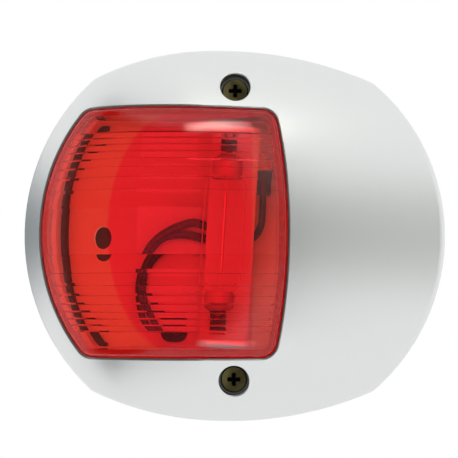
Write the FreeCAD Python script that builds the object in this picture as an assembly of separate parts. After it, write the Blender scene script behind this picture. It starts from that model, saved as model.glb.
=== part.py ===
import FreeCAD, Part
import math
import os

# A boat's side light: a domed cover, a fluted lens under it, a base plate that is
# fixed to the hull, and a festoon bulb on a carrier between two bronze contacts.
# Millimetres. X runs to the right as seen from in front, Z is up, and the back lies on Y = 0.
# Depth is the distance out from the back, so a point at depth d has Y = -d.

# Outline seen from in front: two side arcs about the centre, two flatter crown arcs that lie
# a little inside the side arcs' circle.
side_radius = 50.8
crown_drop = 5.95
crown_radius = 85.0
corner_radius = 4.5

# Domed front: an upright arc swept along a short left arc and a long right arc that meet smoothly.
projection = 36.0
apex_x = -14.0
upright_flattening = 11.2
left_overhang = 5.2
right_radius = 260.0
turn_angle = 12.0
left_sweep = 100.0
right_sweep = 16.0
blank_margin = 5.0
blank_thickness = 90.0

# Cover shell
cover_wall = 2.4
cover_standoff = 1.0
cover_edge_round = 2.5

# Window in the cover, which the lens fills
window_rim = 5.1
window_right_x = 12.3
window_right_radius = 150.0
window_well_gap = 0.25
window_left_corner = 4.0
window_right_corner = 4.0
window_edge_round = 0.5

# Lens
lens_gap = 0.3
lens_proud = 0.6
lens_edge_round = 0.8
lens_edge_wall = 1.8
lens_thickness = 1.8
lens_shoulder = 0.7
lens_seat_gap = 0.15
flute_slope = 16.5
flute_count = 8
flute_margin = 4.0
eye_half_height = 5.3
eye_bulge = 0.25

# Base, its seals and its holes
gasket_thickness = 2.0
gasket_width = 7.0
gasket_gap = 0.4
base_gap = 0.4
base_thickness = 3.0
rim_height = 10.0
rim_inboard = 0.1
rim_left_inboard = 1.0
seal_width = 0.9
seal_left_width = 1.7
seal_thickness = 1.6
seal_end_x = -31.0
hull_screw_edge = 18.3
hull_screw_hole = 2.15

# Cover screws
cover_screw_edge = 10.15
head_radius = 2.87
head_height = 2.4
head_crown = 0.6
shank_radius = 1.75
screw_clearance = 0.15
head_seat_depth = 14.0
land_thickness = 2.2
well_radius = 3.55
well_wall = 1.0
well_edge_round = 0.3
boss_radius = 3.75
boss_gap = 0.3
thread_clearance = 0.05
recess_span = 3.3
recess_slot = 0.9
recess_depth = 1.5

# Bulb carrier, a bridge that stands on the base
carrier_left_x = -7.0
carrier_right_x = 4.5
carrier_gap = 0.8
carrier_depth = 14.0
carrier_plate = 2.0
carrier_leg = 1.8
carrier_leg_inset = 0.8
carrier_round = 1.2
carrier_relief = 0.1
peg_radius = 0.8
peg_clearance = 0.05

# Festoon bulb
bulb_x = -2.8
bulb_lean = 3.6
bulb_depth = 22.0
glass_radius = 5.0
glass_wall = 0.35
glass_inset = 0.4
glass_shoulder = 3.0
neck_radius = 2.9
neck_clearance = 0.1
neck_length = 2.6
cap_radius = 3.5
cap_length = 5.4
cap_tip_radius = 0.6
cap_tip_length = 2.0
filament_wire = 0.15
filament_coil = 0.4
filament_coil_inset = 4.2

# Bronze contacts and their rivets
contact_sheet = 0.5
contact_width = 3.8
contact_foot = 3.6
contact_shelf_depth = 18.6
contact_top_depth = 24.6
contact_grip = 0.5
tip_clearance = 0.1
rivet_edge = 4.2
rivet_offset = 4.1
rivet_shank = 0.8
rivet_clearance = 0.05
rivet_head = 1.3
rivet_head_height = 0.6

# Leads, their crimped terminals and the grommet
lead_radius = 0.85
sleeve_radius = 1.7
sleeve_length = 7.1
sleeve_depth = 10.0
tongue_thickness = 0.8
tongue_width = 2.8
tongue_neck = 0.8
upper_sleeve_x = 6.3
upper_tongue_reach = 7.7
lower_tongue_reach = 5.0
lead_start_run = 5.6
positive_end_run = 7.4
negative_end_run = 9.8
lead_end_depth = 1.0
grommet_x = -14.8
grommet_seal_gap = 0.25
grommet_half_span = 1.0
grommet_bore_clearance = 0.05
grommet_wall = 0.9
grommet_flange = 0.5
grommet_flange_thickness = 0.5
grommet_hole_clearance = 0.05

# Where each lead turns between its first and last run, as (x, lift off the base, z)
positive_turns = [
    (1.6, 2.2, -1.6),
    (-5.4, 1.1, -0.7),
    (-11.6, 1.0, 0.8),
    (-17.8, 1.0, 0.4),
    (-21.9, 1.0, -3.4),
    (-22.9, 1.2, -9.6),
    (-20.6, 3.0, -16.0),
]
negative_turns = [
    (-5.2, 4.4, 1.2),
    (-9.6, 3.3, 3.1),
    (-15.4, 2.9, 1.7),
    (-20.8, 2.9, -1.3),
    (-23.5, 2.9, -6.6),
    (-23.3, 3.8, -12.6),
    (-21.8, 6.0, -18.8),
]

outline_half_height = side_radius - crown_drop
blank_half_height = outline_half_height + blank_margin
upright_radius = side_radius + upright_flattening
left_radius = side_radius + apex_x + left_overhang
cover_screw_z = outline_half_height - cover_screw_edge
window_left_radius = side_radius - window_rim
window_half_height = cover_screw_z - well_radius - well_wall - lens_shoulder - window_well_gap
lens_foot = lens_gap + lens_edge_wall
cavity_half_height = window_half_height - lens_foot
flute_reach = cavity_half_height - flute_margin
hull_screw_x = side_radius - hull_screw_edge
base_back = gasket_thickness
base_front = base_back + base_thickness
lens_seat = base_front + rim_height
land_back = head_seat_depth - land_thickness
clear_depth = projection + blank_half_height
carrier_half_length = cavity_half_height - carrier_gap
rivet_z = carrier_half_length - rivet_edge
bulb_half_length = rivet_z - rivet_offset
glass_half_length = bulb_half_length - cap_length - glass_inset
filament_coil_half = glass_half_length - filament_coil_inset
upper_sleeve_z = rivet_z - upper_tongue_reach - sleeve_length
lower_sleeve_z = -(rivet_z - lower_tongue_reach - sleeve_length)
grommet_half_height = lead_radius + grommet_wall + grommet_flange
grommet_z = grommet_half_height + grommet_seal_gap + rim_inboard + seal_width - cavity_half_height


def at(x, depth, z):
    """Return the point at this place across, out and up."""
    return FreeCAD.Vector(x, -depth, z)


def outward(length):
    """Return a step of this length out from the back."""
    return FreeCAD.Vector(0, -length, 0)


def face_of(edges):
    """Return the flat face inside a closed run of edges."""
    return Part.Face(Part.Wire(Part.__sortEdges__(edges)))


def line(start, end):
    """Return a straight edge."""
    return Part.LineSegment(start, end).toShape()


def arc(start, middle, end):
    """Return a round edge through three points."""
    return Part.Arc(start, middle, end).toShape()


def round_corners(blank, radius_at):
    """Round a prism's four edges that run outwards, each by the radius that radius_at gives for its x."""
    for sign_x in (-1, 1):
        for sign_z in (-1, 1):
            corners = []
            for edge in blank.Edges:
                middle = edge.CenterOfMass
                runs_out = abs(edge.tangentAt(edge.FirstParameter).y) > 0.999
                if runs_out and isinstance(edge.Curve, Part.Line):
                    if middle.x * sign_x > 0 and middle.z * sign_z > 0:
                        corners.append(edge)
            corners.sort(key=lambda edge: -abs(edge.CenterOfMass.z) - abs(edge.CenterOfMass.x))
            blank = blank.makeFillet(radius_at(sign_x), corners[:1])
    return blank


def outline_prism(inset, back, front):
    """Return the light's outline, drawn in by inset, from one depth to another."""
    side = side_radius - inset
    crown = crown_radius - inset
    crown_centre = outline_half_height - crown_radius
    corner_z = (crown**2 - side**2 - crown_centre**2) / (-2 * crown_centre)
    corner_x = math.sqrt(side**2 - corner_z**2)
    top = crown_centre + crown
    edges = [
        arc(at(-corner_x, back, corner_z), at(0, back, top), at(corner_x, back, corner_z)),
        arc(at(corner_x, back, corner_z), at(side, back, 0), at(corner_x, back, -corner_z)),
        arc(at(corner_x, back, -corner_z), at(0, back, -top), at(-corner_x, back, -corner_z)),
        arc(at(-corner_x, back, -corner_z), at(-side, back, 0), at(-corner_x, back, corner_z)),
    ]
    blank = face_of(edges).extrude(outward(front - back))
    radius = max(corner_radius - inset, cover_edge_round / 2)
    return round_corners(blank, lambda sign_x: radius)


def window_prism(growth, back, front, left_growth=None):
    """Return the window's outline, grown by this much all round, or otherwise on its left."""
    left = window_left_radius + (growth if left_growth is None else left_growth)
    right = window_right_radius + growth
    right_centre = window_right_x - window_right_radius
    top = window_half_height + growth
    left_x = -math.sqrt(left**2 - top**2)
    right_x = right_centre + math.sqrt(right**2 - top**2)
    edges = [
        arc(at(left_x, back, -top), at(-left, back, 0), at(left_x, back, top)),
        line(at(left_x, back, top), at(right_x, back, top)),
        arc(at(right_x, back, top), at(right_centre + right, back, 0), at(right_x, back, -top)),
        line(at(right_x, back, -top), at(left_x, back, -top)),
    ]
    blank = face_of(edges).extrude(outward(front - back))
    corners = {-1: window_left_corner + growth, 1: window_right_corner + growth}
    return round_corners(blank, lambda sign_x: corners[sign_x])


def crest_point(reach, z, inset):
    """Return a point of the upright arc, drawn in by inset; reach is the swept radius at mid height."""
    return FreeCAD.Vector(0, -(reach - upright_radius + math.sqrt((upright_radius - inset) ** 2 - z**2)), z)


def plain_crest(reach, inset):
    """Return the upright arc as one edge."""
    z = blank_half_height
    return [arc(crest_point(reach, -z, inset), crest_point(reach, 0, inset), crest_point(reach, z, inset))]


def flute_edge(number):
    """Return the height at which flute number ends: the flutes narrow outwards as a square root does."""
    step = (flute_reach**2 - eye_half_height**2) / flute_count
    return math.sqrt(eye_half_height**2 + number * step)


def fluted_crest(reach, inset):
    """Return the upright section of the lens's inside: a bulging eye, then flutes above and below."""
    eye = eye_half_height
    bulge = inset + eye_bulge
    eye_ends = (crest_point(reach, -eye, inset), crest_point(reach, eye, inset))
    edges = [arc(eye_ends[0], crest_point(reach, 0, bulge), eye_ends[1])]
    for sign in (-1, 1):
        for number in range(flute_count):
            low = sign * flute_edge(number)
            high = sign * flute_edge(number + 1)
            thick = inset + abs(high - low) * math.tan(math.radians(flute_slope))
            edges.append(line(crest_point(reach, low, inset), crest_point(reach, low, thick)))
            edges.append(line(crest_point(reach, low, thick), crest_point(reach, high, inset)))
        end = sign * blank_half_height
        last = sign * flute_edge(flute_count)
        middle = (end + last) / 2
        edges.append(
            arc(
                crest_point(reach, last, inset),
                crest_point(reach, middle, inset),
                crest_point(reach, end, inset),
            )
        )
    return edges


def dome_body(crest, inset):
    """Return everything under the domed front, drawn in by inset, with this crest as its upright section."""
    z = blank_half_height
    turn = math.radians(turn_angle)
    left_centre = at(apex_x, projection - left_radius, 0)
    reach_gap = right_radius - left_radius
    right_centre = left_centre - at(reach_gap * math.sin(turn), reach_gap * math.cos(turn), 0)
    sides = []
    for centre, reach, start, sweep in (
        (left_centre, left_radius, -left_sweep, left_sweep + turn_angle),
        (right_centre, right_radius, turn_angle, right_sweep),
    ):
        root = max(reach - blank_thickness, 0)
        edges = crest(reach, inset)
        edges.append(line(crest_point(reach, z, inset), at(0, root, z)))
        edges.append(line(at(0, root, z), at(0, root, -z)))
        edges.append(line(at(0, root, -z), crest_point(reach, -z, inset)))
        section = face_of(edges)
        section.rotate(FreeCAD.Vector(0, 0, 0), FreeCAD.Vector(0, 0, 1), start)
        section.translate(centre)
        sides.append(section.revolve(centre, FreeCAD.Vector(0, 0, 1), sweep))
    return sides[0].fuse(sides[1]).removeSplitter()


def leaned(item):
    """Return a shape or a point of the bulb and its carrier, turned to the lean they are fitted at."""
    centre = FreeCAD.Vector(bulb_x, 0, 0)
    axis = FreeCAD.Vector(0, 1, 0)
    if isinstance(item, FreeCAD.Vector):
        return FreeCAD.Rotation(axis, bulb_lean).multVec(item - centre) + centre
    turned_item = item.copy()
    turned_item.rotate(centre, axis, bulb_lean)
    return turned_item


def post(x, z, radius, back, front):
    """Return a round post that runs outwards."""
    return Part.makeCylinder(radius, front - back, at(x, back, z), FreeCAD.Vector(0, -1, 0))


def block(left, right, bottom, top, back, front):
    """Return a plain block between these limits."""
    return Part.makeBox(right - left, front - back, top - bottom, at(left, front, bottom))


def edges_near(shape, test):
    """Return the edges whose ends and middle all pass a test."""
    found = []
    for edge in shape.Edges:
        first, last = edge.FirstParameter, edge.LastParameter
        places = [edge.valueAt(first + (last - first) * share) for share in (0.0, 0.3, 0.5, 0.7, 1.0)]
        if all(test(place) for place in places):
            found.append(edge)
    return found


def on_surface(body, place):
    """Return True where a point lies on a body's skin."""
    return body.Shells[0].distToShape(Part.Vertex(place))[0] < 0.01


def make_cover():
    """Return the domed cover, open at the back, with its window and its two screw wells."""
    front = dome_body(plain_crest, 0)
    outside = outline_prism(0, cover_standoff, clear_depth).common(front)
    rim = edges_near(outside, lambda place: -place.y > cover_standoff + 1 and on_surface(front, place))
    outside = outside.makeFillet(cover_edge_round, rim)
    hollow = outline_prism(cover_wall, 0, clear_depth).common(dome_body(plain_crest, cover_wall))
    shell = outside.cut(hollow)
    for sign in (-1, 1):
        z = sign * cover_screw_z
        shell = shell.fuse(post(0, z, well_radius + well_wall, land_back, clear_depth).common(outside))
    shell = shell.cut(window_prism(0, 0, clear_depth))
    for sign in (-1, 1):
        z = sign * cover_screw_z
        shell = shell.cut(post(0, z, well_radius, head_seat_depth, clear_depth))
        shell = shell.cut(post(0, z, shank_radius + screw_clearance, 0, clear_depth))
    shell = shell.removeSplitter()
    window = window_prism(0, 0, clear_depth)
    window_edges = edges_near(
        shell, lambda place: on_surface(front, place) and on_surface(window, place)
    )
    shell = shell.makeFillet(window_edge_round, window_edges)
    well_edges = edges_near(
        shell,
        lambda place: on_surface(front, place)
        and abs(math.hypot(place.x, abs(place.z) - cover_screw_z) - well_radius) < 0.01,
    )
    return shell.makeFillet(well_edge_round, well_edges)


def make_lens():
    """Return the lens: a proud pad in the window, a shoulder under the cover, and flutes on the inside."""
    front = dome_body(plain_crest, -lens_proud)
    pad = window_prism(-lens_gap, lens_seat, clear_depth).common(front)
    rim = edges_near(pad, lambda place: -place.y > lens_seat + 1 and on_surface(front, place))
    pad = pad.makeFillet(lens_edge_round, rim)
    under_cover = dome_body(plain_crest, cover_wall + lens_seat_gap)
    shoulder = window_prism(lens_shoulder, lens_seat, clear_depth).common(under_cover)
    inside = dome_body(fluted_crest, lens_thickness - lens_proud)
    hollow = window_prism(-lens_foot, 0, clear_depth).common(inside)
    return pad.fuse(shoulder).cut(hollow).removeSplitter()


def make_lens_seal():
    """Return the black rubber strip inside the base's rim on the left, which shows through the lens."""
    outer = -lens_foot - rim_inboard
    left = -lens_foot - rim_left_inboard
    front = base_front + seal_thickness
    ring = window_prism(outer, base_front, front, left)
    ring = ring.cut(window_prism(outer - seal_width, base_front, front, left - seal_left_width))
    half = window_half_height
    return ring.cut(block(seal_end_x, side_radius, -half, half, base_front, front))


def make_rim():
    """Return the white rim of the base that the lens stands on."""
    rim = window_prism(lens_shoulder, base_front, lens_seat)
    inner = window_prism(-lens_foot - rim_inboard, base_front, lens_seat, -lens_foot - rim_left_inboard)
    return rim.cut(inner)


def grommet_prism(growth, back, front):
    """Return the grommet's rounded slot, grown from the leads' bores by this much."""
    radius = lead_radius + growth
    left = grommet_x - grommet_half_span
    right = grommet_x + grommet_half_span
    bar = block(left, right, grommet_z - radius, grommet_z + radius, back, front)
    for x in (left, right):
        bar = bar.fuse(post(x, grommet_z, radius, back, front))
    return bar.removeSplitter()


def make_base():
    """Return the moulded base plate with its bosses and holes."""
    plate = outline_prism(cover_wall + base_gap, base_back, base_front)
    plate = plate.common(dome_body(plain_crest, cover_wall + base_gap)).fuse(make_rim())
    for sign in (-1, 1):
        z = sign * cover_screw_z
        plate = plate.fuse(post(0, z, boss_radius, base_back, land_back - boss_gap))
    plate = plate.removeSplitter()
    for sign in (-1, 1):
        z = sign * cover_screw_z
        plate = plate.cut(post(0, z, shank_radius + thread_clearance, base_back, land_back))
        plate = plate.cut(post(sign * hull_screw_x, 0, hull_screw_hole, 0, lens_seat))
        peg_hole = post(bulb_x, sign * peg_z(), peg_radius + peg_clearance, 0, lens_seat)
        plate = plate.cut(leaned(peg_hole))
    return plate.cut(grommet_prism(grommet_wall + grommet_hole_clearance, 0, lens_seat))


def peg_z():
    """Return the height of the carrier's pegs, in the middle of its legs."""
    return carrier_half_length - carrier_leg_inset - carrier_leg / 2


def make_hull_gasket():
    """Return the foam ring between the base and the hull."""
    inset = cover_wall + gasket_gap
    ring = outline_prism(inset, 0, gasket_thickness)
    return ring.cut(outline_prism(inset + gasket_width, 0, gasket_thickness))


def make_carrier():
    """Return the moulded bridge that carries the contacts over the leads."""
    back = carrier_depth - carrier_plate
    half = carrier_half_length
    plate = block(carrier_left_x, carrier_right_x, -half, half, back, carrier_depth)
    plate = round_corners(plate, lambda sign_x: carrier_round)
    for sign in (-1, 1):
        outer = half - carrier_leg_inset
        limits = sorted((sign * outer, sign * (outer - carrier_leg)))
        left = carrier_left_x + carrier_round
        right = carrier_right_x - carrier_round
        plate = plate.fuse(block(left, right, limits[0], limits[1], base_front, back))
        plate = plate.fuse(post(bulb_x, sign * peg_z(), peg_radius, base_back, base_front))
    plate = plate.removeSplitter()
    relief = max(rivet_head, tongue_width / 2) + carrier_relief
    relief_back = back - tongue_thickness - rivet_head_height - carrier_relief
    for sign in (-1, 1):
        z = sign * rivet_z
        plate = plate.cut(post(bulb_x, z, rivet_shank + rivet_clearance, back, carrier_depth))
        plate = plate.cut(post(bulb_x, z, relief, relief_back, back))
    return plate


def turned(x, z, profile):
    """Return a solid turned about a line that runs outwards at x and z, from (radius, depth) points."""
    points = [at(x + radius, depth, z) for radius, depth in profile]
    edges = [line(start, end) for start, end in zip(points, points[1:] + points[:1])]
    return face_of(edges).revolve(at(x, 0, z), FreeCAD.Vector(0, -1, 0), 360)


def upright_turned(edges):
    """Return a solid turned about the bulb's upright axis."""
    axis = at(bulb_x, bulb_depth, 0)
    return face_of(edges).revolve(axis, FreeCAD.Vector(0, 0, 1), 360)


def bulb_point(radius, z):
    """Return a point at this distance from the bulb's axis."""
    return at(bulb_x + radius, bulb_depth, z)


def make_bulb_glass():
    """Return the bulb's glass, a hollow barrel that narrows to a neck at each end."""
    neck_end = glass_half_length + neck_length
    walls = []
    for radius, neck in ((glass_radius, neck_radius), (glass_radius - glass_wall, neck_radius - glass_wall)):
        straight = glass_half_length - glass_shoulder
        bend = neck + (radius - neck) * 0.75
        bend_z = straight + glass_shoulder * 0.6
        walls.append(
            [
                line(bulb_point(neck, -neck_end), bulb_point(neck, -glass_half_length)),
                arc(
                    bulb_point(neck, -glass_half_length),
                    bulb_point(bend, -bend_z),
                    bulb_point(radius, -straight),
                ),
                line(bulb_point(radius, -straight), bulb_point(radius, straight)),
                arc(
                    bulb_point(radius, straight),
                    bulb_point(bend, bend_z),
                    bulb_point(neck, glass_half_length),
                ),
                line(bulb_point(neck, glass_half_length), bulb_point(neck, neck_end)),
            ]
        )
    ends = []
    for z in (-neck_end, neck_end):
        ends.append(line(bulb_point(neck_radius - glass_wall, z), bulb_point(neck_radius, z)))
    return upright_turned(walls[0] + walls[1] + ends)


def make_bulb_cap(sign):
    """Return one of the bulb's metal caps, a cup over the neck that ends in a cone."""
    tip = bulb_half_length
    shoulder = tip - cap_tip_length
    mouth = tip - cap_length
    floor = glass_half_length + neck_length
    bore = neck_radius + neck_clearance
    profile = [
        (bore, mouth),
        (cap_radius, mouth),
        (cap_radius, shoulder),
        (cap_tip_radius, tip),
        (0, tip),
        (0, floor),
        (bore, floor),
    ]
    points = [bulb_point(radius, sign * z) for radius, z in profile]
    return upright_turned([line(start, end) for start, end in zip(points, points[1:] + points[:1])])


def make_filament():
    """Return the bulb's upright filament with the wires that carry it from cap to cap."""
    end = glass_half_length + neck_length
    profile = [
        (0, -end),
        (filament_wire, -end),
        (filament_wire, -filament_coil_half),
        (filament_coil, -filament_coil_half),
        (filament_coil, filament_coil_half),
        (filament_wire, filament_coil_half),
        (filament_wire, end),
        (0, end),
    ]
    points = [bulb_point(radius, z) for radius, z in profile]
    return upright_turned([line(start, end) for start, end in zip(points, points[1:] + points[:1])])


def make_contact(sign):
    """Return one bronze contact: a riveted foot, a sloping arm and an upright blade round the cap's tip."""
    sheet = contact_sheet
    foot_end = rivet_z + contact_foot / 2
    bend = rivet_z - contact_foot / 2
    blade = bulb_half_length - contact_grip
    rise = carrier_depth
    shelf = contact_shelf_depth
    slope = math.atan2(shelf - rise, bend - blade)
    miter = sheet * math.tan(slope / 2)
    turn = sheet * math.tan((math.pi / 2 - slope) / 2)
    profile = [
        (foot_end, rise),
        (bend, rise),
        (blade, shelf),
        (blade, contact_top_depth),
        (blade + sheet, contact_top_depth),
        (blade + sheet, shelf + turn),
        (bend + miter, rise + sheet),
        (foot_end, rise + sheet),
    ]
    left = bulb_x - contact_width / 2
    points = [at(left, depth, sign * z) for z, depth in profile]
    edges = [line(start, end) for start, end in zip(points, points[1:] + points[:1])]
    strip = face_of(edges).extrude(FreeCAD.Vector(contact_width, 0, 0))
    hole = post(bulb_x, sign * rivet_z, rivet_shank + rivet_clearance, rise, rise + sheet)
    tip_share = contact_grip / cap_tip_length
    tip_radius = cap_tip_radius + (cap_radius - cap_tip_radius) * tip_share + tip_clearance
    seat = Part.makeCylinder(
        tip_radius, sheet * 3, at(bulb_x, bulb_depth, sign * (blade - sheet)), FreeCAD.Vector(0, 0, sign)
    )
    return strip.cut(hole).cut(seat)


def make_rivet(sign):
    """Return a rivet through a contact's foot, the carrier and a terminal's tongue."""
    front = carrier_depth + contact_sheet
    back = carrier_depth - carrier_plate - tongue_thickness
    profile = [
        (0, back - rivet_head_height),
        (rivet_head * 0.8, back - rivet_head_height),
        (rivet_head, back),
        (rivet_shank, back),
        (rivet_shank, front),
        (rivet_head, front),
        (rivet_head * 0.7, front + rivet_head_height),
        (0, front + rivet_head_height),
    ]
    return turned(bulb_x, sign * rivet_z, profile)


def make_terminal(sleeve_x, sleeve_end, sign):
    """Return a brass tongue from a sleeve's end to the rivet under the carrier's plate."""
    front = carrier_depth - carrier_plate
    back = front - tongue_thickness
    start_z = sleeve_end + sign * tongue_neck
    half = tongue_width / 2
    neck_back = sleeve_depth - lead_radius
    limits = sorted((sleeve_end, sleeve_end + sign * tongue_neck * 2))
    neck = block(sleeve_x - half, sleeve_x + half, limits[0], limits[1], neck_back, front)
    start = at(sleeve_x, back, start_z)
    end = at(bulb_x, back, sign * rivet_z)
    along = end - start
    side = FreeCAD.Vector(along.z, 0, -along.x).normalize() * half
    corners = [start + side, end + side, end - side, start - side]
    edges = [line(first, second) for first, second in zip(corners, corners[1:] + corners[:1])]
    tongue = face_of(edges).extrude(outward(tongue_thickness))
    tongue = tongue.fuse(post(bulb_x, sign * rivet_z, half, back, front))
    near, far = sorted((sleeve_end, sleeve_end - sign * tongue_width))
    beyond = block(sleeve_x - tongue_width, sleeve_x + tongue_width, near, far, back, front)
    tongue = tongue.fuse(neck).cut(beyond).removeSplitter()
    return tongue.cut(post(bulb_x, sign * rivet_z, rivet_shank + rivet_clearance, back, front))


def make_sleeve(x, start, sign):
    """Return a terminal's insulating sleeve, upright beside or under the carrier."""
    axis = FreeCAD.Vector(0, 0, sign)
    return Part.makeCylinder(sleeve_radius, sleeve_length, at(x, sleeve_depth, start), axis)


def lead_route(start, sign, turns, end_x, end_run):
    """Return a lead's points from its sleeve, which faces the way that sign gives, to the grommet."""
    x, z = start
    first = [leaned(at(x, sleeve_depth, z)), leaned(at(x, sleeve_depth, z + sign * lead_start_run))]
    middle = [at(turn_x, base_front + lift, turn_z) for turn_x, lift, turn_z in turns]
    last = [at(end_x, lead_end_depth + end_run, grommet_z), at(end_x, lead_end_depth, grommet_z)]
    return first + middle + last


def make_lead(points):
    """Return a lead as straight runs joined by tangent arcs as large as the runs allow."""
    edges = []
    reached = points[0]
    for before, corner, after in zip(points, points[1:], points[2:]):
        arrive = (corner - before).normalize()
        leave = (after - corner).normalize()
        turn = arrive.getAngle(leave)
        cut = 0.45 * min((corner - before).Length, (after - corner).Length)
        start = corner - arrive * cut
        end = corner + leave * cut
        radius = cut / math.tan(turn / 2)
        print("  turn %.0f degrees, radius %.1f" % (math.degrees(turn), radius))
        inward = (leave - arrive).normalize()
        middle = corner + inward * (radius / math.cos(turn / 2) - radius)
        edges.append(line(reached, start))
        edges.append(arc(start, middle, end))
        reached = end
    edges.append(line(reached, points[-1]))
    path = Part.Wire(edges)
    ring = Part.Wire(Part.makeCircle(lead_radius, points[0], points[1] - points[0]))
    tube = path.makePipeShell([ring], True, False)
    length = sum(edge.Length for edge in edges)
    print("  volume ratio %.4f" % (tube.Volume / (math.pi * lead_radius**2 * length)))
    return tube


def make_grommet():
    """Return the rubber grommet that the two leads leave through."""
    wall = grommet_wall
    flange = grommet_wall + grommet_flange
    body = grommet_prism(wall, base_back, base_front)
    body = body.fuse(grommet_prism(flange, base_front, base_front + grommet_flange_thickness))
    body = body.fuse(grommet_prism(flange, base_back - grommet_flange_thickness, base_back)).removeSplitter()
    bore = lead_radius + grommet_bore_clearance
    for sign in (-1, 1):
        body = body.cut(post(grommet_x + sign * grommet_half_span, grommet_z, bore, 0, lens_seat))
    return body


def crown_point(x, z, rim):
    """Return a point half way along the crown of a screw head, on the sphere that is level at its middle."""
    sphere = (head_radius**2 + head_crown**2) / (2 * head_crown)
    half = head_radius / 2
    return at(x + half, rim + head_crown - sphere + math.sqrt(sphere**2 - half**2), z)


def make_cover_screw(sign):
    """Return a cover screw with a crowned head and a cross recess."""
    x = 0
    z = sign * cover_screw_z
    rim = head_seat_depth + head_height - head_crown
    top = head_seat_depth + head_height
    end = base_back + base_thickness / 3
    edges = [
        line(at(x, end, z), at(x + shank_radius, end, z)),
        line(at(x + shank_radius, end, z), at(x + shank_radius, head_seat_depth, z)),
        line(at(x + shank_radius, head_seat_depth, z), at(x + head_radius, head_seat_depth, z)),
        line(at(x + head_radius, head_seat_depth, z), at(x + head_radius, rim, z)),
        arc(at(x + head_radius, rim, z), crown_point(x, z, rim), at(x, top, z)),
        line(at(x, top, z), at(x, end, z)),
    ]
    screw = face_of(edges).revolve(at(x, 0, z), FreeCAD.Vector(0, -1, 0), 360)
    for long_x, long_z in ((recess_span, recess_slot), (recess_slot, recess_span)):
        rings = []
        for share, depth in ((1.0, top + head_crown), (0.4, top - recess_depth)):
            half_x = max(long_x * share, recess_slot * 0.7) / 2
            half_z = max(long_z * share, recess_slot * 0.7) / 2
            corners = [
                at(x - half_x, depth, z - half_z),
                at(x + half_x, depth, z - half_z),
                at(x + half_x, depth, z + half_z),
                at(x - half_x, depth, z + half_z),
            ]
            rings.append(Part.makePolygon(corners + corners[:1]))
        screw = screw.cut(Part.makeLoft(rings, True, True))
    return screw


def save(name, shape):
    """Write one piece to its own file and say how it came out."""
    solids = shape.Solids
    print("%-20s solids %d valid %s volume %.1f" % (name, len(solids), shape.isValid(), shape.Volume))
    piece = solids[0] if len(solids) == 1 else Part.makeCompound(solids)
    piece.exportStep(os.path.join("parts", name + ".step"))


def main():
    """Build every piece and write it out."""
    os.makedirs("parts", exist_ok=True)
    save("cover", make_cover())
    save("lens", make_lens())
    save("lens_seal", make_lens_seal())
    save("base", make_base())
    save("hull_gasket", make_hull_gasket())
    save("bulb_carrier", leaned(make_carrier()))
    save("bulb_glass", leaned(make_bulb_glass()))
    save("bulb_filament", leaned(make_filament()))
    for side, sign in (("upper", 1), ("lower", -1)):
        save(side + "_bulb_cap", leaned(make_bulb_cap(sign)))
        save(side + "_contact", leaned(make_contact(sign)))
        save(side + "_rivet", leaned(make_rivet(sign)))
        save(side + "_cover_screw", make_cover_screw(sign))
    upper_end = upper_sleeve_z + sleeve_length
    lower_end = lower_sleeve_z - sleeve_length
    save("upper_terminal", leaned(make_terminal(upper_sleeve_x, upper_end, 1)))
    save("upper_sleeve", leaned(make_sleeve(upper_sleeve_x, upper_sleeve_z, 1)))
    save("lower_terminal", leaned(make_terminal(bulb_x, lower_end, -1)))
    save("lower_sleeve", leaned(make_sleeve(bulb_x, lower_sleeve_z, -1)))
    upper_start = (upper_sleeve_x, upper_sleeve_z)
    lower_start = (bulb_x, lower_sleeve_z)
    left_bore = grommet_x - grommet_half_span
    right_bore = grommet_x + grommet_half_span
    positive = lead_route(upper_start, -1, positive_turns, left_bore, positive_end_run)
    negative = lead_route(lower_start, 1, negative_turns, right_bore, negative_end_run)
    save("lead_positive", make_lead(positive))
    save("lead_negative", make_lead(negative))
    save("wire_grommet", make_grommet())


main()
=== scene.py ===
"""Scene of a boat's side light: a domed metal cover round a red fluted lens, dressed in a pale studio."""
import logging
import math
from dataclasses import dataclass, field
from enum import Enum

import bmesh
import bpy
from mathutils import Matrix, Vector


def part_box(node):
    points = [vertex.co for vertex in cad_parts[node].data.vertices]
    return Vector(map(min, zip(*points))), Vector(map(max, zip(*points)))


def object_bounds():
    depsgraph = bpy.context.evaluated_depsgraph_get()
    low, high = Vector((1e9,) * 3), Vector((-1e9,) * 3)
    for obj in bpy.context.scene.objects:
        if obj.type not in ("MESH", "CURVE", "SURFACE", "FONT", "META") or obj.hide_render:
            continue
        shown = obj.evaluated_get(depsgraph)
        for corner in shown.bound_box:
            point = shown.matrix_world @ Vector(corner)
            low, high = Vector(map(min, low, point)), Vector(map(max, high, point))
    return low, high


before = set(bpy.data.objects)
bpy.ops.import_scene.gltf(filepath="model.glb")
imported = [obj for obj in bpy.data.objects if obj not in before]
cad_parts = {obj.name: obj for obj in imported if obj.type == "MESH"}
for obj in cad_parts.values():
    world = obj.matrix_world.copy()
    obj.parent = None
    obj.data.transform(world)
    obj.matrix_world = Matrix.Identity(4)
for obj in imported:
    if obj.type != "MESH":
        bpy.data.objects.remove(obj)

LOG = logging.getLogger("side_light")
CAD_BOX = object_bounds()
WHITE = (1.0, 1.0, 1.0)
ACROSS_FACE = (1.0, 0.0, 1.0)
COVER_SCREWS = ("upper_cover_screw", "lower_cover_screw")
GRAIN_DETAIL = {"Speckle": 3.0, "Cloud": 2.0}

Colour = tuple[float, float, float]
Term = bpy.types.NodeSocket | float | tuple[float, ...]


class Ray(Enum):
    """Which rays see a stage piece that the camera looks past."""

    GLOSS = "gloss"
    THROUGH_LENS = "through_lens"


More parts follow.
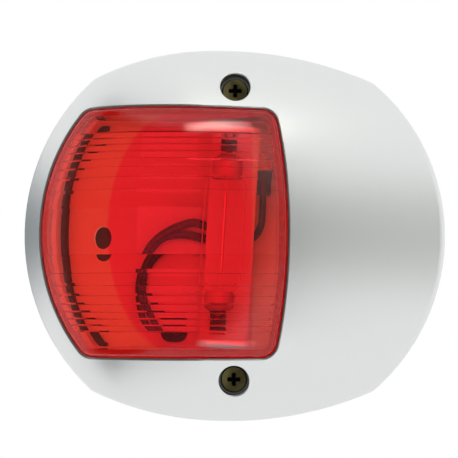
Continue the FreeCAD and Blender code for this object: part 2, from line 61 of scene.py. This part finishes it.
class NodeBench:
    """Places and joins shader nodes in one node tree."""

    def __init__(self, tree: bpy.types.NodeTree) -> None:
        """Start on a tree.

        Args:
            tree: the node tree to fill.
        """
        self.tree = tree

    def add(self, kind: str, **settings: object) -> bpy.types.Node:
        """Add a node.

        Args:
            kind: the node's type name.
            settings: attributes to set on the node.

        Returns:
            The new node.
        """
        node = self.tree.nodes.new(kind)
        for name, value in settings.items():
            setattr(node, name, value)
        return node

    def join(self, source: bpy.types.NodeSocket, target: bpy.types.NodeSocket) -> None:
        """Join an output to an input."""
        self.tree.links.new(source, target)

    def feed(self, target: bpy.types.NodeSocket, term: Term) -> None:
        """Give an input its term.

        Args:
            target: the input.
            term: an output to join to it, or a plain value to set on it.
        """
        if isinstance(term, bpy.types.NodeSocket):
            self.join(term, target)
        else:
            target.default_value = term

    def math(self, operation: str, *terms: Term) -> bpy.types.NodeSocket:
        """Work a number out of others.

        Args:
            operation: what is worked out.
            terms: the numbers, in the order of the node's inputs.

        Returns:
            The result.
        """
        node = self.add("ShaderNodeMath", operation=operation)
        for target, term in zip(node.inputs, terms):
            self.feed(target, term)
        return node.outputs["Value"]

    def span(
        self, value: Term, start: Term, end: Term, low: Term = 0.0, high: Term = 1.0, **settings: object
    ) -> bpy.types.NodeSocket:
        """Carry a value from one span over to another.

        Args:
            value: the value.
            start: where the first span starts.
            end: where the first span ends.
            low: the result at its start.
            high: the result at its end.
            settings: attributes to set on the node.

        Returns:
            The result.
        """
        node = self.add("ShaderNodeMapRange", **settings)
        names = ("Value", "From Min", "From Max", "To Min", "To Max")
        for name, term in zip(names, (value, start, end, low, high)):
            self.feed(node.inputs[name], term)
        return node.outputs["Result"]

    def blend(self, kind: str, factor: Term, first: Term, second: Term) -> bpy.types.NodeSocket:
        """Blend two numbers or colours.

        Args:
            kind: FLOAT for numbers or RGBA for colours.
            factor: the share of the second one.
            first: the first one.
            second: the second one.

        Returns:
            The blend.
        """
        node = self.add("ShaderNodeMix", data_type=kind)
        for name, term in (("Factor", factor), ("A", first), ("B", second)):
            self.feed(node.inputs[name], term)
        return node.outputs["Result"]

    def blend_shaders(
        self, factor: bpy.types.NodeSocket, first: bpy.types.NodeSocket, second: bpy.types.NodeSocket
    ) -> bpy.types.NodeSocket:
        """Blend two shaders.

        Args:
            factor: the share of the second one.
            first: the first one.
            second: the second one.

        Returns:
            The blend.
        """
        node = self.add("ShaderNodeMixShader")
        for source, target in zip((factor, first, second), node.inputs):
            self.join(source, target)
        return node.outputs["Shader"]

    def bump(self, height: bpy.types.NodeSocket, distance: float, strength: float) -> bpy.types.Node:
        """Add a bump.

        Args:
            height: the height over the surface.
            distance: how far full height stands out.
            strength: how strongly it shows.

        Returns:
            The bump's node.
        """
        node = self.add("ShaderNodeBump")
        self.join(height, node.inputs["Height"])
        node.inputs["Distance"].default_value = distance
        node.inputs["Strength"].default_value = strength
        return node

    def object_place(self) -> bpy.types.NodeSocket:
        """Return the position on the object."""
        return self.add("ShaderNodeTexCoord").outputs["Object"]

    def split(self, vector: bpy.types.NodeSocket) -> bpy.types.NodeOutputs:
        """Return the X, Y and Z of a vector, by name."""
        node = self.add("ShaderNodeSeparateXYZ")
        self.join(vector, node.inputs["Vector"])
        return node.outputs

    def backdrop_rays(self) -> bpy.types.NodeSocket:
        """Return 1 on the rays that show a backdrop: straight, off gloss and through glass."""
        path = self.add("ShaderNodeLightPath").outputs
        seen = self.math("MAXIMUM", path["Is Camera Ray"], path["Is Glossy Ray"])
        return self.math("MAXIMUM", seen, path["Is Transmission Ray"])


def start_material(name: str) -> tuple[bpy.types.Material, NodeBench, bpy.types.Node]:
    """Start a material.

    Args:
        name: the material's name.

    Returns:
        The material, its bench and its own shader.
    """
    material = bpy.data.materials.new(name)
    material.use_nodes = True
    tree = material.node_tree
    return material, NodeBench(tree), tree.nodes["Principled BSDF"]


def build_fine_grain() -> bpy.types.ShaderNodeTree:
    """Build the shared group that gives a fine, even speckle for tone and height.

    Returns:
        The group, with Speckle and Cloud outputs, both from 0 to 1.
    """
    group = bpy.data.node_groups.new("fine_grain", "ShaderNodeTree")
    group.interface.new_socket("Vector", in_out="INPUT", socket_type="NodeSocketVector")
    for name in GRAIN_DETAIL:
        group.interface.new_socket(f"{name} Scale", in_out="INPUT", socket_type="NodeSocketFloat")
        group.interface.new_socket(name, in_out="OUTPUT", socket_type="NodeSocketFloat")
    bench = NodeBench(group)
    entry = bench.add("NodeGroupInput")
    leave = bench.add("NodeGroupOutput")
    for name, detail in GRAIN_DETAIL.items():
        texture = bench.add("ShaderNodeTexNoise")
        texture.inputs["Detail"].default_value = detail
        bench.join(entry.outputs["Vector"], texture.inputs["Vector"])
        bench.join(entry.outputs[f"{name} Scale"], texture.inputs["Scale"])
        bench.join(texture.outputs["Fac"], leave.inputs[name])
    return group


@dataclass(frozen=True)
class Finish:
    """One surface finish: a base tone, its small variation and its texture."""

    name: str
    tone: Colour
    other_tone: Colour
    metallic: float = 0.0
    roughness: float = 0.5
    roughness_spread: float = 0.1
    speckle_scale: float = 4000.0
    cloud_scale: float = 90.0
    bump_depth: float = 0.00002
    bump_strength: float = 0.3
    speckle_share: float = 0.5
    ior: float = 1.5

    def build(self, grain: bpy.types.ShaderNodeTree) -> bpy.types.Material:
        """Make the material.

        Args:
            grain: the shared fine grain group.

        Returns:
            The finished material.
        """
        material, bench, shader = start_material(self.name)
        texture = bench.add("ShaderNodeGroup", node_tree=grain)
        texture.inputs["Speckle Scale"].default_value = self.speckle_scale
        texture.inputs["Cloud Scale"].default_value = self.cloud_scale
        bench.join(bench.object_place(), texture.inputs["Vector"])
        speckle = texture.outputs["Speckle"]
        share = bench.blend("FLOAT", self.speckle_share, texture.outputs["Cloud"], speckle)
        tone = bench.blend("RGBA", share, (*self.tone, 1.0), (*self.other_tone, 1.0))
        spread = self.roughness_spread / 2
        rough = bench.span(share, 0.0, 1.0, self.roughness - spread, self.roughness + spread)
        bump = bench.bump(speckle, self.bump_depth, self.bump_strength)
        bench.join(tone, shader.inputs["Base Color"])
        bench.join(rough, shader.inputs["Roughness"])
        bench.join(bump.outputs["Normal"], shader.inputs["Normal"])
        shader.inputs["Metallic"].default_value = self.metallic
        shader.inputs["IOR"].default_value = self.ior
        return material


@dataclass(frozen=True)
class ClearMoulding:
    """Clear glass or plastic, tinted by what it absorbs on the way through.

    Lengths are in metres from the light's centre. The zones part a deep middle from a border tinted
    lighter as painted light, and the flutes are the solid's own, of which only the soft backs are made
    here.
    """

    name: str
    face_tint: Colour
    painted_border_tint: Colour
    depth_tint: Colour
    density: float
    light_tint: Colour
    ior: float = 1.49
    roughness: float = 0.0
    ripple_scale: float = 60.0
    ripple_detail: float = 1.0
    ripple_depth: float = 0.00001
    ripple_strength: float = 0.4
    zone_middle: tuple[float, float] = (-0.0125, 0.0)
    zone_half: tuple[float, float] = (0.0166, 0.0282)
    zone_softness: float = 0.06
    flute_depth: float = 0.0
    flute_start: float = 0.0053
    flute_reach: float = 0.0231
    flute_count: int = 8
    flute_back: float = 0.25

    def build(self) -> bpy.types.Material:
        """Make the material.

        Returns:
            The finished material.
        """
        material, bench, shader = start_material(self.name)
        shader.inputs["Base Color"].default_value = (*self.face_tint, 1.0)
        shader.inputs["Transmission Weight"].default_value = 1.0
        shader.inputs["IOR"].default_value = self.ior
        shader.inputs["Roughness"].default_value = self.roughness
        place = bench.object_place()
        # Painted light: a lighter border tint round a deeper middle stands in for light falling in
        # through the lens.
        if self.painted_border_tint != self.face_tint:
            bench.join(self.paint_lit_border(bench, place), shader.inputs["Base Color"])
        ripple = bench.add("ShaderNodeTexNoise")
        ripple.inputs["Scale"].default_value = self.ripple_scale
        ripple.inputs["Detail"].default_value = self.ripple_detail
        bench.join(place, ripple.inputs["Vector"])
        bump = bench.bump(ripple.outputs["Fac"], self.ripple_depth, self.ripple_strength)
        bench.join(bump.outputs["Normal"], shader.inputs["Normal"])
        if self.flute_depth > 0.0:
            bench.join(self.soften_flutes(bench, place), bump.inputs["Normal"])
        output = material.node_tree.nodes["Material Output"]
        if self.density > 0.0:
            absorb = bench.add("ShaderNodeVolumeAbsorption")
            absorb.inputs["Color"].default_value = (*self.depth_tint, 1.0)
            absorb.inputs["Density"].default_value = self.density
            bench.join(absorb.outputs["Volume"], output.inputs["Volume"])
        path = bench.add("ShaderNodeLightPath").outputs
        lighting = bench.math("MAXIMUM", path["Is Shadow Ray"], path["Is Diffuse Ray"])
        clear = bench.add("ShaderNodeBsdfTransparent")
        clear.inputs["Color"].default_value = (*self.light_tint, 1.0)
        surface = bench.blend_shaders(lighting, shader.outputs["BSDF"], clear.outputs["BSDF"])
        bench.join(surface, output.inputs["Surface"])
        return material

    def soften_flutes(self, bench: NodeBench, place: bpy.types.NodeSocket) -> bpy.types.NodeSocket:
        """Give the inside flutes their drafted backs, which a moulding has for its release.

        The flutes' edges follow the square root that their solid has, and only the inner face is shaped.

        Args:
            bench: where the nodes go.
            place: the position on the moulding.

        Returns:
            The shaped normal.
        """
        across = bench.split(place)["Z"]
        square = bench.math("MULTIPLY", across, across)
        count = bench.span(square, self.flute_start**2, self.flute_reach**2, 0.0, self.flute_count)
        part = bench.math("FRACT", count)
        back = bench.span(part, 1.0 - self.flute_back, 1.0, 1.0, 0.0)
        inner = bench.add("ShaderNodeNewGeometry").outputs["Backfacing"]
        height = bench.math("MULTIPLY", back, inner)
        return bench.bump(height, self.flute_depth, 1.0).outputs["Normal"]

    def paint_lit_border(self, bench: NodeBench, place: bpy.types.NodeSocket) -> bpy.types.NodeSocket:
        """Paint light into the moulding's tint: its border is tinted lighter than its deep middle.

        The deep middle ends in an arc on the left and in a straight upright line on the right.

        Args:
            bench: where the nodes go.
            place: the position on the moulding.

        Returns:
            The tint.
        """
        axes = bench.split(place)
        side, rise = (
            bench.span(axes[axis], middle, middle + half, clamp=False)
            for axis, middle, half in zip("XZ", self.zone_middle, self.zone_half)
        )
        side_square = bench.math("MULTIPLY", side, side)
        rise_square = bench.math("MULTIPLY", rise, rise)
        on_left = bench.math("LESS_THAN", side, 0.0)
        total = bench.math("MULTIPLY_ADD", rise_square, on_left, side_square)
        soft = bench.span(
            total, 1.0 - self.zone_softness, 1.0 + self.zone_softness, interpolation_type="SMOOTHSTEP"
        )
        return bench.blend("RGBA", soft, (*self.face_tint, 1.0), (*self.painted_border_tint, 1.0))


SATIN_PLATING = Finish(
    "satin_plating", (0.74, 0.76, 0.75), (0.79, 0.81, 0.80), metallic=1.0, roughness=0.3,
    speckle_scale=5200.0, cloud_scale=35.0, bump_depth=0.00001, bump_strength=0.25,
)
WHITE_MOULDING = Finish(
    "white_moulding", (0.88, 0.88, 0.86), (0.92, 0.92, 0.90), roughness=0.45, speckle_scale=3000.0,
)
BLACK_RUBBER = Finish(
    "black_rubber", (0.012, 0.012, 0.013), (0.03, 0.03, 0.03), roughness=0.6, speckle_scale=2500.0,
)
BLACK_FOAM = Finish(
    "black_foam", (0.015, 0.015, 0.016), (0.05, 0.05, 0.052), roughness=0.85, speckle_scale=1500.0,
    bump_depth=0.00015, bump_strength=0.7,
)
BLACK_VINYL = Finish(
    "black_vinyl", (0.012, 0.012, 0.014), (0.02, 0.02, 0.022), roughness=0.32, speckle_scale=900.0,
)
BRONZE_STRIP = Finish(
    "bronze_strip", (0.26, 0.16, 0.08), (0.36, 0.23, 0.12), metallic=1.0, roughness=0.38,
    speckle_scale=1200.0,
)
BRASS = Finish(
    "brass", (0.3, 0.21, 0.1), (0.38, 0.28, 0.14), metallic=1.0, roughness=0.42, speckle_scale=1500.0,
)
DARK_BRASS = Finish(
    "dark_brass", (0.27, 0.225, 0.085), (0.38, 0.32, 0.14), metallic=1.0, roughness=0.36,
    roughness_spread=0.16, speckle_scale=1600.0, cloud_scale=400.0,
)
PLATED_CAP = Finish("plated_cap", (0.7, 0.7, 0.68), (0.76, 0.76, 0.74), metallic=0.2, roughness=0.6)
TUNGSTEN = Finish("tungsten", (0.9, 0.9, 0.88), (0.95, 0.95, 0.93), metallic=0.3, roughness=0.3)
# The red lens's second tint is the painted light of its border.
RED_LENS = ClearMoulding(
    "red_lens", (0.99, 0.075, 0.13), (0.99, 0.23, 0.17), depth_tint=(0.96, 0.285, 0.14), density=200.0,
    light_tint=(0.93, 0.53, 0.5), flute_depth=0.0002,
)
CLEAR_GLASS = ClearMoulding(
    "clear_glass", WHITE, WHITE, depth_tint=WHITE, density=0.0, light_tint=WHITE, ior=1.015,
)


class Wardrobe:
    """Holds every finish once it is built and puts it on nodes and pieces."""

    def __init__(self) -> None:
        """Build the shared group and all the materials."""
        grain = build_fine_grain()
        solid = (
            SATIN_PLATING, WHITE_MOULDING, BLACK_RUBBER, BLACK_FOAM, BLACK_VINYL, BRONZE_STRIP, BRASS,
            DARK_BRASS, PLATED_CAP, TUNGSTEN,
        )
        self.materials = {finish.name: finish.build(grain) for finish in solid}
        for finish in (RED_LENS, CLEAR_GLASS):
            self.materials[finish.name] = finish.build()

    def dress(self, piece: bpy.types.Object, finish: Finish | ClearMoulding) -> None:
        """Put one finish on every slot of a piece.

        Args:
            piece: the object to dress.
            finish: the finish it takes.
        """
        material = self.materials[finish.name]
        if not piece.material_slots:
            piece.data.materials.append(material)
        for number in range(len(piece.material_slots)):
            piece.data.materials[number] = material
        LOG.info("dressed %s in %s", piece.name, finish.name)


def screw_axes() -> list[Vector]:
    """Return the middle of each cover screw, on its axis."""
    boxes = [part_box(node) for node in COVER_SCREWS]
    return [(Vector(low) + Vector(high)) / 2 for low, high in boxes]


def paint_screw_shade(
    material: bpy.types.Material, inner: float, outer: float, tone: Colour, arm: float = 0.0,
    arm_softness: float = 0.2,
) -> None:
    """Paint shade into a finish round the cover screws' axes, where the wells and recesses lie in shade.

    Args:
        material: the finish to change.
        inner: up to this radius the finish is fully dark.
        outer: beyond this radius it is unchanged.
        tone: the tone of the painted shade.
        arm: half the width of a cross that the dark is held to, or 0 for a full disc.
        arm_softness: the share of the arm over which its edge fades.
    """
    bench = NodeBench(material.node_tree)
    shader = material.node_tree.nodes["Principled BSDF"]
    place = bench.object_place()
    shade_masks = []
    for axis in screw_axes():
        offset = bench.add("ShaderNodeVectorMath", operation="SUBTRACT")
        offset.inputs[1].default_value = axis
        bench.join(place, offset.inputs[0])
        flat = bench.add("ShaderNodeVectorMath", operation="MULTIPLY")
        flat.inputs[1].default_value = ACROSS_FACE
        bench.join(offset.outputs["Vector"], flat.inputs[0])
        reach = bench.add("ShaderNodeVectorMath", operation="LENGTH")
        bench.join(flat.outputs["Vector"], reach.inputs[0])
        mask = bench.span(reach.outputs["Value"], inner, outer, 1.0, 0.0, interpolation_type="SMOOTHSTEP")
        if arm > 0.0:
            sides = bench.add("ShaderNodeVectorMath", operation="ABSOLUTE")
            bench.join(flat.outputs["Vector"], sides.inputs[0])
            away = bench.split(sides.outputs["Vector"])
            nearer = bench.math("MINIMUM", away["X"], away["Z"])
            edge = (arm * (1.0 - arm_softness), arm * (1.0 + arm_softness))
            mask = bench.span(nearer, *edge, mask, 0.0, interpolation_type="SMOOTHSTEP")
        shade_masks.append(mask)
    # Painted shade: blend the finish to the dark tone inside the masks round the screws.
    plain = shader.inputs["Base Color"].links[0].from_socket
    tint = bench.blend("RGBA", bench.math("MAXIMUM", *shade_masks), plain, (*tone, 1.0))
    bench.join(tint, shader.inputs["Base Color"])


@dataclass
class Housing:
    """The cover, the base and the seals round them."""

    finishes: dict[str, Finish] = field(
        default_factory=lambda: {
            "cover": SATIN_PLATING,
            "base": WHITE_MOULDING,
            "lens_seal": BLACK_RUBBER,
            "hull_gasket": BLACK_FOAM,
            "wire_grommet": BLACK_RUBBER,
            "bulb_carrier": WHITE_MOULDING,
        }
    )
    # Painted shade in the screw wells: the plating darkens to well_shade between these radii of each
    # screw's axis.
    well_floor_radius: float = 0.0031
    well_radius: float = 0.0035
    well_shade: Colour = (0.04, 0.036, 0.025)

    def build(self, wardrobe: Wardrobe) -> None:
        """Dress the housing's nodes.

        Args:
            wardrobe: where the materials are kept.
        """
        for node, finish in self.finishes.items():
            wardrobe.dress(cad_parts[node], finish)
        plating = wardrobe.materials[SATIN_PLATING.name]
        # Painted shade on the plating in the screw wells.
        paint_screw_shade(plating, self.well_floor_radius, self.well_radius, self.well_shade)


@dataclass
class Lens:
    """The red moulding with its inside flutes."""

    node: str = "lens"

    def build(self, wardrobe: Wardrobe) -> None:
        """Dress the lens.

        Args:
            wardrobe: where the materials are kept.
        """
        wardrobe.dress(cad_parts[self.node], RED_LENS)


@dataclass
class Electrics:
    """The bulb, its contacts, the terminals and the leads."""

    finishes: dict[str, Finish | ClearMoulding] = field(
        default_factory=lambda: {
            "bulb_glass": CLEAR_GLASS,
            "bulb_filament": TUNGSTEN,
            "upper_bulb_cap": PLATED_CAP,
            "lower_bulb_cap": PLATED_CAP,
            "upper_contact": BRONZE_STRIP,
            "lower_contact": BRONZE_STRIP,
            "upper_rivet": BRONZE_STRIP,
            "lower_rivet": BRONZE_STRIP,
            "upper_terminal": BRASS,
            "lower_terminal": BRASS,
            "upper_sleeve": BLACK_VINYL,
            "lower_sleeve": BLACK_VINYL,
            "lead_positive": BLACK_VINYL,
            "lead_negative": BLACK_VINYL,
        }
    )

    def build(self, wardrobe: Wardrobe) -> None:
        """Dress the electric parts' nodes.

        Args:
            wardrobe: where the materials are kept.
        """
        for node, finish in self.finishes.items():
            wardrobe.dress(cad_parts[node], finish)


@dataclass
class Screws:
    """The two cover screws."""

    nodes: tuple[str, str] = COVER_SCREWS
    # Painted shade in each screw head's cross recess, held to a cross of recess_arm half-width.
    recess_radius: float = 0.0015
    recess_edge: float = 0.00165
    recess_arm: float = 0.0005
    recess_shade: Colour = (0.018, 0.01, 0.016)

    def build(self, wardrobe: Wardrobe) -> None:
        """Dress the screws.

        Args:
            wardrobe: where the materials are kept.
        """
        for node in self.nodes:
            wardrobe.dress(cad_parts[node], DARK_BRASS)
        brass = wardrobe.materials[DARK_BRASS.name]
        # Painted shade in the screws' cross recesses.
        paint_screw_shade(brass, self.recess_radius, self.recess_edge, self.recess_shade, self.recess_arm)


@dataclass(frozen=True)
class RoomPanel:
    """One soft panel that stands round the light.

    Each stop gives a bearing, the panel's shade there and how fully it covers what is behind. Above and
    below its lift the panel fades out between the two soft angles. All angles are in degrees.
    """

    name: str
    radius: float
    stops: tuple[tuple[float, float, float], ...]
    soft_from: float
    soft_to: float
    lift: float = 0.0
    cast: Colour = WHITE
    strength: float = 1.0

    def height_at(self, degrees: float) -> float:
        """Return the height on the panel at an angle above the level."""
        return self.radius * math.tan(math.radians(degrees))

    def build(self) -> bpy.types.Material:
        """Make the panel's glow, clear outside its edges.

        Returns:
            The finished material.
        """
        material, bench, shader = start_material(self.name)
        tree = material.node_tree
        tree.nodes.remove(shader)
        axes = bench.split(bench.object_place())
        height = bench.math("ABSOLUTE", bench.math("SUBTRACT", axes["Z"], self.height_at(self.lift)))
        soft = bench.span(
            height, self.height_at(self.soft_from), self.height_at(self.soft_to), 1.0, 0.0,
            interpolation_type="SMOOTHSTEP",
        )
        front = bench.math("MULTIPLY", axes["Y"], -1.0)
        bearing = bench.span(bench.math("ARCTAN2", axes["X"], front), -math.pi, math.pi)
        ramp = bench.add("ShaderNodeValToRGB")
        elements = ramp.color_ramp.elements
        while len(elements) < len(self.stops):
            elements.new(0.5)
        for element, (degrees, shade, share) in zip(elements, self.stops):
            element.position = (degrees + 180.0) / 360.0
            element.color = (*(shade * part for part in self.cast), share)
        bench.join(bearing, ramp.inputs["Fac"])
        cover = bench.math("MULTIPLY", soft, ramp.outputs["Alpha"])
        glow = bench.add("ShaderNodeEmission")
        glow.inputs["Strength"].default_value = self.strength
        bench.join(ramp.outputs["Color"], glow.inputs["Color"])
        clear = bench.add("ShaderNodeBsdfTransparent")
        surface = bench.blend_shaders(cover, clear.outputs["BSDF"], glow.outputs["Emission"])
        bench.join(surface, tree.nodes["Material Output"].inputs["Surface"])
        return material


FRONT_CARD = RoomPanel(
    "front_card", 0.84, ((-90.0, 0.12, 0.0), (-78.0, 0.12, 1.0), (27.0, 0.12, 1.0), (32.0, 0.12, 0.0)),
    soft_from=49.0, soft_to=54.0,
)
LEFT_PANEL = RoomPanel(
    "left_panel", 0.95, ((-178.0, 0.3, 0.0), (-165.0, 0.3, 1.0), (-100.0, 0.3, 1.0), (-90.0, 0.3, 0.0)),
    soft_from=1.0, soft_to=23.0, lift=3.0, cast=(0.93, 1.0, 1.07),
)
RIGHT_PANEL = RoomPanel(
    "right_panel", 0.9, ((24.0, 0.6, 0.0), (28.0, 0.6, 1.0), (64.0, 0.62, 1.0), (90.0, 0.8, 0.0)),
    soft_from=3.0, soft_to=31.0, lift=2.8, cast=(1.0, 1.0, 0.98),
)
CEILING_GLOW = RoomPanel(
    "ceiling_glow", 0.78, ((2.0, 1.0, 0.0), (16.0, 1.0, 0.8), (32.0, 1.0, 1.0), (38.0, 1.0, 0.0)),
    soft_from=1.0, soft_to=9.0, lift=51.5, cast=(1.0, 0.94, 0.84), strength=11.0,
)
LOW_GLOW = RoomPanel(
    "low_glow", 0.76, ((16.0, 1.0, 0.0), (27.0, 1.0, 1.0), (33.0, 1.0, 1.0), (38.0, 1.0, 0.0)),
    soft_from=1.0, soft_to=5.0, lift=-49.0, strength=4.0,
)


@dataclass(frozen=True)
class Lamp:
    """One soft lamp that no gloss shows: where it hangs from the light's centre, its size and power."""

    name: str
    place: tuple[float, float, float]
    size: tuple[float, float]
    power: float


@dataclass
class Studio:
    """The pale floor, the room round the light, the lamps and the camera."""

    camera_distance: float = 0.401
    camera_rise: float = -2.6
    camera_roll: float = 0.27
    focal_length: float = 125.8
    sensor_width: float = 36.0
    near_clip: float = 0.01
    shift_x: float = -0.0120
    shift_y: float = 0.0190
    floor_drop: float = 1.8
    floor_size: float = 12.0
    floor_tone: Colour = (0.9, 0.9, 0.9)
    floor_roughness: float = 0.8
    room_height: float = 4.4
    room_steps: int = 72
    ambient: float = 0.85
    hull_hole_x: float = 0.0325
    # Painted shade behind the base's holes: dark discs of this radius, gap, step count and tone.
    hole_shade_radius: float = 0.004
    hole_shade_gap: float = 0.001
    hole_shade_steps: int = 32
    hole_shade_tone: Colour = (0.01, 0.004, 0.005)
    panels: tuple[RoomPanel, ...] = (FRONT_CARD, LEFT_PANEL, RIGHT_PANEL, CEILING_GLOW, LOW_GLOW)
    lamps: tuple[Lamp, ...] = (
        Lamp("overhead_lamp", (0.212, -0.512, 0.709), (0.3, 0.08), 0.5),
        Lamp("low_lamp", (0.307, -0.511, -0.674), (0.13, 0.03), 0.08),
        Lamp("front_fill", (-0.1, -0.9, 0.1), (0.7, 0.7), 3.0),
    )

    def build(self) -> None:
        """Make the whole studio."""
        self.build_camera()
        self.build_world()
        self.build_floor()
        self.build_painted_hole_shade()
        for panel in self.panels:
            self.build_panel(panel)
        for lamp in self.lamps:
            self.build_lamp(lamp)

    def centre(self) -> Vector:
        """Return the middle of the light's outline on its back."""
        low, high = CAD_BOX
        return Vector(((low[0] + high[0]) / 2, high[1], (low[2] + high[2]) / 2))

    def build_camera(self) -> None:
        """Place the camera a little below the light, looking up at it."""
        rise = math.radians(self.camera_rise)
        toward = Vector((0.0, math.cos(rise), -math.sin(rise)))
        camera = bpy.data.cameras.new("camera")
        camera.lens = self.focal_length
        camera.sensor_width = self.sensor_width
        camera.shift_x = self.shift_x
        camera.shift_y = self.shift_y
        camera.clip_start = self.near_clip
        holder = bpy.data.objects.new("camera", camera)
        bpy.context.scene.collection.objects.link(holder)
        roll = Matrix.Rotation(math.radians(self.camera_roll), 4, "Z")
        holder.matrix_world = (
            Matrix.Translation(self.centre() - toward * self.camera_distance)
            @ toward.to_track_quat("-Z", "Y").to_matrix().to_4x4()
            @ roll
        )
        bpy.context.scene.camera = holder

    def build_world(self) -> None:
        """Make the world white where it is seen, and a plain soft light elsewhere."""
        world = bpy.data.worlds.new("studio_world")
        world.use_nodes = True
        bpy.context.scene.world = world
        bench = NodeBench(world.node_tree)
        back = world.node_tree.nodes["Background"]
        back.inputs["Color"].default_value = (*WHITE, 1.0)
        level = bench.span(bench.backdrop_rays(), 0.0, 1.0, self.ambient, 1.0)
        bench.join(level, back.inputs["Strength"])

    def build_floor(self) -> None:
        """Lay the pale floor well below the light, which belongs on a wall."""
        shape = bmesh.new()
        bmesh.ops.create_grid(shape, x_segments=1, y_segments=1, size=self.floor_size / 2)
        low, _ = CAD_BOX
        bmesh.ops.translate(shape, verts=shape.verts, vec=(0.0, 0.0, low[2] - self.floor_drop))
        floor = self.place(shape, "floor")
        material, bench, shader = start_material("pale_floor")
        shader.inputs["Base Color"].default_value = (*self.floor_tone, 1.0)
        shader.inputs["Roughness"].default_value = self.floor_roughness
        glow = bench.add("ShaderNodeEmission")
        glow.inputs["Strength"].default_value = 1.0
        surface = bench.blend_shaders(
            bench.backdrop_rays(), shader.outputs["BSDF"], glow.outputs["Emission"]
        )
        bench.join(surface, material.node_tree.nodes["Material Output"].inputs["Surface"])
        floor.data.materials.append(material)

    def build_panel(self, panel: RoomPanel) -> None:
        """Stand one soft panel round the light, which only its gloss shows.

        Args:
            panel: the panel's shades, edges and place.
        """
        shape = bmesh.new()
        half = self.room_height / 2
        low = shape.verts.new((0.0, -panel.radius, -half))
        high = shape.verts.new((0.0, -panel.radius, half))
        wall = shape.edges.new((low, high))
        bmesh.ops.spin(
            shape, geom=[low, high, wall], cent=(0.0, 0.0, 0.0), axis=(0.0, 0.0, 1.0),
            angle=math.tau, steps=self.room_steps, use_merge=True,
        )
        ring = self.place(shape, panel.name)
        self.show_only_to(ring, Ray.GLOSS)
        ring.data.materials.append(panel.build())

    def build_painted_hole_shade(self) -> None:
        """Put small dark discs of painted shade behind the base's holes, which only show through the
        lens.
        """
        material, _, shader = start_material("painted_hole_shade")
        # Painted shade: the dark discs stand in for the shade inside the base's holes.
        shader.inputs["Base Color"].default_value = (*self.hole_shade_tone, 1.0)
        shape = bmesh.new()
        _, high = CAD_BOX
        low_grommet, high_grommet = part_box("wire_grommet")
        outlet = (Vector(low_grommet) + Vector(high_grommet)) / 2
        spots = [(side * self.hull_hole_x, 0.0) for side in (-1.0, 1.0)] + [(outlet.x, outlet.z)]
        turn = Matrix.Rotation(math.pi / 2, 4, "X")
        for x, z in spots:
            bmesh.ops.create_circle(
                shape, cap_ends=True, segments=self.hole_shade_steps, radius=self.hole_shade_radius,
                matrix=Matrix.Translation((x, high[1] + self.hole_shade_gap, z)) @ turn,
            )
        shade_discs = self.place(shape, "painted_hole_shade")
        self.show_only_to(shade_discs, Ray.THROUGH_LENS)
        shade_discs.data.materials.append(material)

    def show_only_to(self, item: bpy.types.Object, ray: Ray) -> None:
        """Hide a stage piece from every ray but one kind.

        Args:
            item: the stage piece.
            ray: the rays that still see it.
        """
        item.visible_camera = False
        item.visible_diffuse = False
        item.visible_shadow = False
        item.visible_volume_scatter = False
        item.visible_glossy = ray is Ray.GLOSS
        item.visible_transmission = ray is Ray.THROUGH_LENS

    def build_lamp(self, lamp: Lamp) -> None:
        """Hang one soft lamp that faces the light.

        Args:
            lamp: the lamp to hang.
        """
        light = bpy.data.lights.new(lamp.name, "AREA")
        light.shape = "RECTANGLE"
        light.size, light.size_y = lamp.size
        light.energy = lamp.power
        holder = bpy.data.objects.new(lamp.name, light)
        bpy.context.scene.collection.objects.link(holder)
        holder.location = self.centre() + Vector(lamp.place)
        holder.rotation_euler = (-Vector(lamp.place)).to_track_quat("-Z", "Y").to_euler()
        holder.visible_glossy = False

    def place(self, shape: bmesh.types.BMesh, name: str) -> bpy.types.Object:
        """Turn a bmesh into a stage object.

        Args:
            shape: the mesh, which is freed.
            name: the object's name.

        Returns:
            The stage object.
        """
        mesh = bpy.data.meshes.new(name)
        shape.to_mesh(mesh)
        shape.free()
        item = bpy.data.objects.new(name, mesh)
        bpy.context.scene.collection.objects.link(item)
        return item


def main() -> None:
    """Build the studio and dress every sub-assembly in order."""
    logging.basicConfig(level=logging.INFO, format="%(name)s: %(message)s")
    bpy.context.scene.view_settings.view_transform = "Standard"
    Studio().build()
    wardrobe = Wardrobe()
    Housing().build(wardrobe)
    Lens().build(wardrobe)
    Electrics().build(wardrobe)
    Screws().build(wardrobe)


if __name__ == "__main__":
    main()
